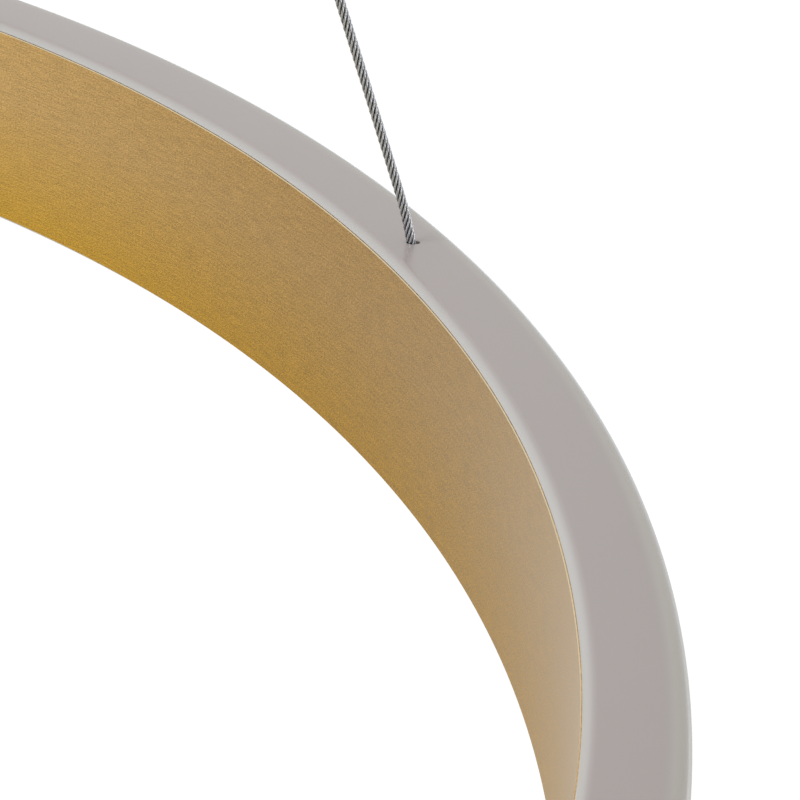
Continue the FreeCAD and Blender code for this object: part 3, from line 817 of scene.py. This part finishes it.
class RINGLIGHT_OT_canopy(bpy.types.Operator):
    """Makes the spun canopy cover with its holes"""

    bl_idname = "ringlight.canopy"
    bl_label = "Canopy"

    def execute(self, context):
        s = sizes()
        r, wall = s.cover_radius, s.cover_wall
        inside = COVER_FLOOR + wall
        corners = [(0, COVER_FLOOR), (r, COVER_FLOOR), (r, 0), (r - wall, 0), (r - wall, inside), (0, inside)]
        rounds = [(1, s.cover_corner, 12), (2, 0.3 * MM, 2), (3, 0.3 * MM, 2), (4, s.cover_corner - wall, 8)]
        piece = draw("canopy_cover_shell", corners, rounds)
        turn(192)
        low, high = COVER_FLOOR - MM, COVER_FLOOR + 2 * MM
        tools = [cylinder("hole", NECK_HOLE_RADIUS, low, high)]
        for azimuth in WIRE_AZIMUTHS:
            hole = cylinder("hole", NECK_HOLE_RADIUS, low, high)
            tools.append(moved(hole, GRIPPER_CIRCLE, azimuth=azimuth))
        for azimuth in SIDE_AZIMUTHS:
            tools.append(sideways(cylinder("hole", 2.2 * MM, r - 3 * MM, r + 2 * MM), azimuth))
        cut(piece, joined("canopy_holes", tools))
        finish(piece, "coat", nodes=["canopy_cover"])
        return {"FINISHED"}


class RINGLIGHT_OT_grippers(bpy.types.Operator):
    """Makes the wire grippers: turned bodies with threaded necks, knurled plungers, springs, nuts and caps"""

    bl_idname = "ringlight.grippers"
    bl_label = "Wire grippers"

    def execute(self, context):
        still = (
            (self.body(), "gripper_body", "gripper_bodies"),
            (neck_nut("neck_nut_1"), "neck_nut", "hex_nuts"),
            (self.cap(), "gripper_cap", "gripper_caps"),
        )
        for first, name, node in still:
            for piece in on_wires(moved(first, GRIPPER_CIRCLE), name):
                finish(piece, "nickel", nodes=[node])
        for n, piece in enumerate(on_wires(moved(self.plunger(), GRIPPER_CIRCLE), "release_plunger"), 1):
            finish(piece, "nickel", f"plunger_{n}", [f"gripper_plunger_{n}"])
        low, high = (corner[2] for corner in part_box("gripper_spring_1"))
        # The jaws press the spring together as far as the plunger goes in.
        spring = moved(self.spring(low, high), GRIPPER_CIRCLE)
        for n, piece in enumerate(on_wires(spring, "jaw_spring"), 1):
            finish(piece, "spring", nodes=[f"gripper_spring_{n}"], degrees=60)
            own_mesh(piece)
        return {"FINISHED"}

    def outline(self, *points):
        """An outline given in millimetres as radius and height over the cover's floor."""
        return [(r * MM, COVER_FLOOR + z * MM) for r, z in points]

    def body(self):
        """The barrel with its inner cone and a turned groove, and the neck screwed up through the cover."""
        corners = self.outline(
            (2.6, -3), (3.8, 5), (4.2, 5), (4.2, 0), (6.5, 0), (6.5, -10.2), (6.2, -10.5), (6.2, -10.9),
            (6.5, -11.2), (6.5, -14), (2.6, -14),
        )
        rounds = [(4, 0.4 * MM, 3), (9, 0.9 * MM, 6), (10, 0.3 * MM, 2)]
        barrel = turned("gripper_barrel", corners, rounds, 72)
        high = COVER_FLOOR + GRIPPER_NECK_LENGTH
        neck = threaded("neck", NECK_RADIUS, NECK_PITCH, COVER_FLOOR, high)
        cut(neck, cylinder("bore", 3.8 * MM, COVER_FLOOR - MM, high + MM))
        return joined("gripper_body_1", [barrel, neck])

    def cap(self):
        """The ring that closes the neck above the spring, with a hexagonal socket."""
        high = COVER_FLOOR + GRIPPER_NECK_LENGTH
        cap = lens("gripper_cap_1", 3.75 * MM, 3.45 * MM, high - 2.5 * MM, high, 0.3 * MM)
        return cut(cap, cylinder("socket", 3 * MM / math.sqrt(3), high - 4 * MM, high + MM, sides=6))

    def plunger(self):
        """A tube round the wire, with a collar whose rim is knurled for the fingers."""
        collar = (2.5, -16.8), (4.1, -16.8), (4.1, -19.5), (1.6, -19.5)
        corners = self.outline((1.6, -1.5), (2.5, -1.5), *collar)
        rounds = [(3, 0.4 * MM, 3), (4, 0.6 * MM, 5), (5, 0.4 * MM, 3)]
        tube = turned("plunger_tube", corners, rounds, 64)
        rim = cylinder("rim", 4.2 * MM, COVER_FLOOR - 18.7 * MM, COVER_FLOOR - 17.4 * MM, sides=96)
        # Every other pair of its upright edges is pushed in.
        for vertex in rim.data.vertices:
            if vertex.index // 2 % 2:
                vertex.co.xy *= 0.965
        cut(rim, cylinder("bore", 3 * MM, COVER_FLOOR - 20 * MM, COVER_FLOOR - 16 * MM))
        return joined("release_plunger_1", [tube, rim])

    def spring(self, low, high):
        """A compression spring of round wire, wound in three and a half turns."""
        choose()
        wire = 0.275 * MM
        bpy.ops.mesh.primitive_circle_add(
            vertices=10, radius=wire, location=(2.65 * MM, 0, low + wire), rotation=(math.pi / 2, 0, 0)
        )
        bpy.ops.object.transform_apply(location=True, rotation=True)
        piece = named(bpy.context.object, "jaw_spring_1")
        screw = piece.modifiers.new("screw", "SCREW")
        screw.angle = 3.5 * FULL_TURN
        screw.screw_offset = high - low - 2 * wire
        screw.steps = screw.render_steps = 112
        apply_modifiers(piece)
        edit(piece)
        # Both open ends of the wire are closed.
        for level in (low + wire, high - wire):
            pick("EDGE", lambda place, part: part.is_boundary and abs(place.z - level) < 2 * wire)
            bpy.ops.mesh.edge_face_add()
        outward()
        return piece


class RINGLIGHT_OT_outlet(bpy.types.Operator):
    """Makes the threaded outlet in the middle of the cover, with its nut"""

    bl_idname = "ringlight.outlet"
    bl_label = "Lead outlet"

    def execute(self, context):
        head = hexagon("outlet_head", 16 * MM, COVER_FLOOR - OUTLET_HEAD_HEIGHT, COVER_FLOOR)
        high = COVER_FLOOR + OUTLET_NECK_LENGTH
        neck = threaded("neck", NECK_RADIUS, NECK_PITCH, COVER_FLOOR, high)
        for part in (head, neck):
            cut(part, cylinder("bore", OUTLET_BORE_RADIUS, COVER_FLOOR - OUTLET_HEAD_HEIGHT - MM, high + MM))
        finish(joined("lead_outlet", [head, neck]), "nickel", nodes=["cord_outlet"])
        finish(neck_nut("outlet_nut"), "nickel", nodes=["hex_nuts"])
        return {"FINISHED"}


class RINGLIGHT_OT_strap(bpy.types.Operator):
    """Makes the ceiling strap and the two pan-head screws that hold the cover on it"""

    bl_idname = "ringlight.strap"
    bl_label = "Strap and screws"

    def execute(self, context):
        self.strap()
        for n, azimuth in enumerate(SIDE_AZIMUTHS, 1):
            screw = sideways(self.screw(f"pan_screw_{n}"), azimuth)
            finish(screw, "nickel", nodes=["cover_screws"])
        return {"FINISHED"}

    def strap(self):
        """A flat bar, folded down at both ends, slotted for the ceiling screws and open in the middle."""
        low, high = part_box("ceiling_strap")
        end, half, foot = high[1], high[0], low[2]
        sheet = 2 * MM
        corners = [
            (-end, 0), (end, 0), (end, foot), (end - sheet, foot),
            (end - sheet, -sheet), (sheet - end, -sheet), (sheet - end, foot), (-end, foot),
        ]
        rounds = [(0, 1.5 * MM, 5), (1, 1.5 * MM, 5), (4, 0.5 * MM, 2), (5, 0.5 * MM, 2)]
        piece = draw("ceiling_bar", corners, rounds)
        close_outline(corners[0], corners[-1])
        bpy.ops.mesh.select_all(action="SELECT")
        bpy.ops.mesh.edge_face_add()
        bpy.ops.mesh.extrude_region_move(TRANSFORM_OT_translate={"value": (0, 2 * half, 0)})
        outward()
        piece.data.transform(Matrix.Rotation(math.pi / 2, 4, "Z") @ Matrix.Translation((0, -half, 0)))
        cut(piece, cylinder("supply_hole", 8 * MM, -3 * MM, MM))
        for y in (50 * MM, -50 * MM):
            slot = block("slot", (-2.75 * MM, y - 10 * MM, -3 * MM), (2.75 * MM, y + 10 * MM, MM))
            cut(piece, round_uprights(slot, 2.7 * MM, 8))
        for azimuth in SIDE_AZIMUTHS:
            cut(piece, sideways(cylinder("tapped_hole", 2 * MM, end - 3 * MM, end + MM), azimuth))
        softened(piece, 0.25 * MM)
        finish(piece, "zinc", nodes=["ceiling_strap"])

    def screw(self, name):
        """A pan-head screw with a cross recess, standing up."""
        face = sizes().cover_radius
        top = face + 2.4 * MM
        head = draw(name, [(0, face), (4 * MM, face), (4 * MM, top), (0, top)], [(2, 1.3 * MM, 8)])
        turn(48)
        cross_recess(head, 2.1 * MM, 0.5 * MM, face + MM, face + 3 * MM)
        softened(head, 0.1 * MM)
        shank = threaded("shank", 1.95 * MM, 0.7 * MM, face - 6 * MM, face)
        return joined(name, [head, shank])


class RINGLIGHT_OT_driver(bpy.types.Operator):
    """Makes the moulded power supply with its ribs, end covers and screws"""

    bl_idname = "ringlight.driver"
    bl_label = "Power supply"

    def execute(self, context):
        (left, back, foot), (right, front, top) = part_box("led_driver")
        lid = top - 1.2 * MM
        case = round_uprights(block("driver_case", (left, back, foot), (right, front, lid)), 3 * MM, 6)
        # A parting line goes round the case, and a joint parts each end cover from the middle.
        middle = (foot + lid) / 2
        groove = 0.4 * MM
        low, high = middle - 0.2 * MM, middle + 0.2 * MM
        ring = block("parting_line", (left - MM, back - MM, low), (right + MM, front + MM, high))
        core_low = (left + groove, back + groove, middle - MM)
        core_high = (right - groove, front - groove, middle + MM)
        cut(case, cut(ring, block("core", core_low, core_high)))
        columns = (left + 6 * MM, right - 6 * MM)
        for side in (-1, 1):
            y = side * (front - 17 * MM)
            low = (left - MM, y - 0.25 * MM, lid - 0.5 * MM)
            cut(case, block("joint", low, (right + MM, y + 0.25 * MM, lid + MM)))
            y = side * (front - 6 * MM)
            for x in columns:
                cut(case, cylinder("counterbore", 2.4 * MM, lid - 1.6 * MM, lid + MM, x=x, y=y, sides=32))
        softened(case, 0.35 * MM)
        parts = [case]
        for n in range(9):
            y = (n - 4) * 7 * MM
            rib = block("rib", (left + 3 * MM, y - MM, lid - MM), (right - 3 * MM, y + MM, top))
            parts.append(softened(rib, 0.4 * MM))
        finish(joined("driver_case", parts), "plastic", nodes=["led_driver"])
        for side in (-1, 1):
            for n, x in enumerate(columns, 1):
                head = lens("screw", 2.1 * MM, 1.8 * MM, lid - 1.7 * MM, lid - 0.5 * MM, 0.3 * MM)
                cross_recess(head, 1.2 * MM, 0.3 * MM, lid - 1.1 * MM, lid)
                named(moved(head, x, side * (front - 6 * MM)), f"driver_screw_{n + (side + 1)}")
                finish(head, "zinc")
        return {"FINISHED"}


NODE_FINISHES = {
    "splice_plates": "aluminium",
    "led_strip": "board",
    "led_chips": "phosphor",
    "feed_connector": "plastic",
    "anchor_blocks": "aluminium",
    "wire_ferrules": "aluminium",
    **{f"gripper_jaws_{n}": "hardened" for n in (1, 2, 3)},
    "driver_pads": "foam",
    "terminal_block": "plastic",
}


class RINGLIGHT_OT_frame_finishes(bpy.types.Operator):
    """Gives the CAD pieces that still show their materials"""

    bl_idname = "ringlight.frame_finishes"
    bl_label = "Finishes of the inner pieces"

    def execute(self, context):
        for node, key in NODE_FINISHES.items():
            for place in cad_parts[node].material_slots:
                place.material = FINISHES[key]
        return {"FINISHED"}


class RINGLIGHT_OT_stage(bpy.types.Operator):
    """Sets up the camera, the soft studio light and the pale floor"""

    bl_idname = "ringlight.stage"
    bl_label = "Stage"

    def execute(self, context):
        bpy.context.scene.view_settings.view_transform = "Standard"
        self.camera()
        self.floor()
        self.light()
        return {"FINISHED"}

    def camera(self):
        """The camera stands inside the ring and looks along its right side, slightly rolled."""
        view = bpy.data.cameras.new("camera")
        view.lens = 149.4
        view.sensor_width = 36
        view.clip_end = 50
        camera = bpy.data.objects.new("camera", view)
        bpy.context.collection.objects.link(camera)
        forward = Vector((0.3993, 0.8016, -0.4450)).normalized()
        right = forward.cross(Vector((0, 0, 1))).normalized()
        roll = Matrix.Rotation(math.radians(-3.187), 3, forward)
        turned_by = Matrix((roll @ right, roll @ right.cross(forward), -forward)).transposed()
        place = Matrix.Translation((71.9 * MM, -441.6 * MM, -350.9 * MM))
        camera.matrix_world = place @ turned_by.to_4x4()
        bpy.context.scene.camera = camera

    def floor(self):
        choose()
        bpy.ops.mesh.primitive_plane_add(size=30, location=(0, 0, -1.9))
        floor = named(bpy.context.object, "floor")
        bpy.ops.object.transform_apply(location=True)
        made, add, shader = new_material("pale_floor", linear("#F2F2F2"), Roughness=0.9)
        white = add("Emission", {"Color": self.level(add), "Strength": 1.0})
        # A tenth of the floor's own shade is left, which keeps the light's shadow.
        share = add("Math", {0: self.seen(add), 1: 0.9}, operation="MULTIPLY")
        above = add("MixShader", {"Fac": share, 1: shader, 2: white})
        below = add("BsdfTransparent")
        side = add("NewGeometry").outputs["Backfacing"]
        both = add("MixShader", {"Fac": side, 1: above, 2: below})
        connect(made.node_tree.nodes["Material Output"], {"Surface": both})
        floor.data.materials.append(made)

    def seen(self, add):
        """1 for rays from the camera, from metal and through glass."""
        path = add("LightPath")
        rays = [path.outputs[f"Is {kind} Ray"] for kind in ("Camera", "Glossy", "Transmission")]
        first = add("Math", {0: rays[0], 1: rays[1]}, operation="MAXIMUM")
        return add("Math", {0: first, 1: rays[2]}, operation="MAXIMUM")

    def level(self, add):
        """What the floor shows that way: white to the camera, and in metal a warm card between paler ones."""
        place = add("TexCoord").outputs["Object"]
        way = add("VectorMath", {0: place}, operation="NORMALIZE")
        total = (0.6, 0.55, 0.44)
        # Each card: the azimuth of its middle in degrees, the cosine at which it starts, and its light.
        cards = (
            (172, 0.5, (0.78, 0.93, 1.15)),
            (78, 0.7, (0.5, 0.72, 0.95)),
            (45, 0.4, (0.4, 0.5, 0.65)),
            (0, 0.75, (1.9, 1.9, 1.9)),
            (250, 0.3, (-0.47, -0.44, -0.36)),
        )
        for azimuth, start, gain in cards:
            side = (math.cos(math.radians(azimuth)), math.sin(math.radians(azimuth)), 0)
            toward = add("VectorMath", {0: way, 1: side}, operation="DOT_PRODUCT")
            share = add("MapRange", {"Value": toward, "From Min": start}, interpolation_type="SMOOTHSTEP")
            more = add("VectorMath", {0: gain, "Scale": share}, operation="SCALE")
            total = add("VectorMath", {0: total, 1: more}, operation="ADD")
        eye = add("LightPath").outputs["Is Camera Ray"]
        return add("Mix", {"Factor": eye, "A": total, "B": (1.06, 1.06, 1.06, 1)}, data_type="RGBA")

    def light(self):
        world = bpy.data.worlds.new("studio")
        world.use_nodes = True
        add = partial(add_node, world.node_tree)
        way = add("TexCoord").outputs["Generated"]
        height = add("SeparateXYZ", {"Vector": way}).outputs["Z"]
        # The studio's walls are brighter than its ceiling.
        level = add("MapRange", {"Value": height, "To Min": 0.95, "To Max": 0.65})
        # In metal, the dim part of the room behind the camera darkens what faces it.
        toward = add("VectorMath", {0: way, 1: (-0.4, -0.8, 0.45)}, operation="DOT_PRODUCT")
        dim = {"Value": toward, "From Min": 0.5, "To Min": 1.0, "To Max": 0.4}
        dim = add("MapRange", dim, interpolation_type="SMOOTHSTEP")
        eye = add("LightPath").outputs["Is Camera Ray"]
        shown = add("Mix", {"Factor": eye, "A": dim, "B": 1.0}, data_type="FLOAT")
        strength = add("Mix", {"Factor": self.seen(add), "A": level, "B": shown}, data_type="FLOAT")
        background = world.node_tree.nodes["Background"]
        connect(background, {"Color": (1, 1, 1, 1), "Strength": strength})
        bpy.context.scene.world = world
        # A soft square lamp on the left faces the ring.
        key = bpy.data.lights.new("key", "AREA")
        key.size = 1.2
        key.energy = 18
        lamp = bpy.data.objects.new("key", key)
        bpy.context.collection.objects.link(lamp)
        lamp.location = (-1.5, -0.2, 0.0)
        toward = Vector((0, 0, RING_MIDDLE)) - lamp.location
        lamp.rotation_euler = toward.to_track_quat("-Z", "Y").to_euler()


class RINGLIGHT_PT_panel(bpy.types.Panel):
    """The sizes, colours and steps of the ring light"""

    bl_label = "Ring light"
    bl_space_type = "VIEW_3D"
    bl_region_type = "UI"
    bl_category = "Ring light"

    def draw(self, context):
        layout = self.layout
        for group in (context.scene.ring_light_sizes, context.scene.ring_light_colours):
            box = layout.box()
            for name in group.bl_rna.properties.keys():
                if name not in {"rna_type", "name"}:
                    box.prop(group, name)
        for operator in OPERATORS:
            layout.operator(operator.bl_idname)


OPERATORS = (
    RINGLIGHT_OT_finishes,
    RINGLIGHT_OT_stage,
    RINGLIGHT_OT_wires,
    RINGLIGHT_OT_skin,
    RINGLIGHT_OT_band,
    RINGLIGHT_OT_canopy,
    RINGLIGHT_OT_grippers,
    RINGLIGHT_OT_outlet,
    RINGLIGHT_OT_strap,
    RINGLIGHT_OT_driver,
    RINGLIGHT_OT_frame_finishes,
)
CLASSES = (RingLightSizes, RingLightColours, *OPERATORS, RINGLIGHT_PT_panel)


def register():
    for kind in CLASSES:
        bpy.utils.register_class(kind)
    bpy.types.Scene.ring_light_sizes = PointerProperty(type=RingLightSizes)
    bpy.types.Scene.ring_light_colours = PointerProperty(type=RingLightColours)


def unregister():
    del bpy.types.Scene.ring_light_colours
    del bpy.types.Scene.ring_light_sizes
    for kind in reversed(CLASSES):
        bpy.utils.unregister_class(kind)


def main():
    """Builds the light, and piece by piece."""
    register()
    bpy.ops.ringlight.finishes()
    bpy.ops.ringlight.stage()
    bpy.ops.ringlight.wires()
    bpy.ops.ringlight.skin()
    bpy.ops.ringlight.band()
    bpy.ops.ringlight.canopy()
    bpy.ops.ringlight.grippers()
    bpy.ops.ringlight.outlet()
    bpy.ops.ringlight.strap()
    bpy.ops.ringlight.driver()
    bpy.ops.ringlight.frame_finishes()
    choose()


if __name__ == "__main__":
    main()
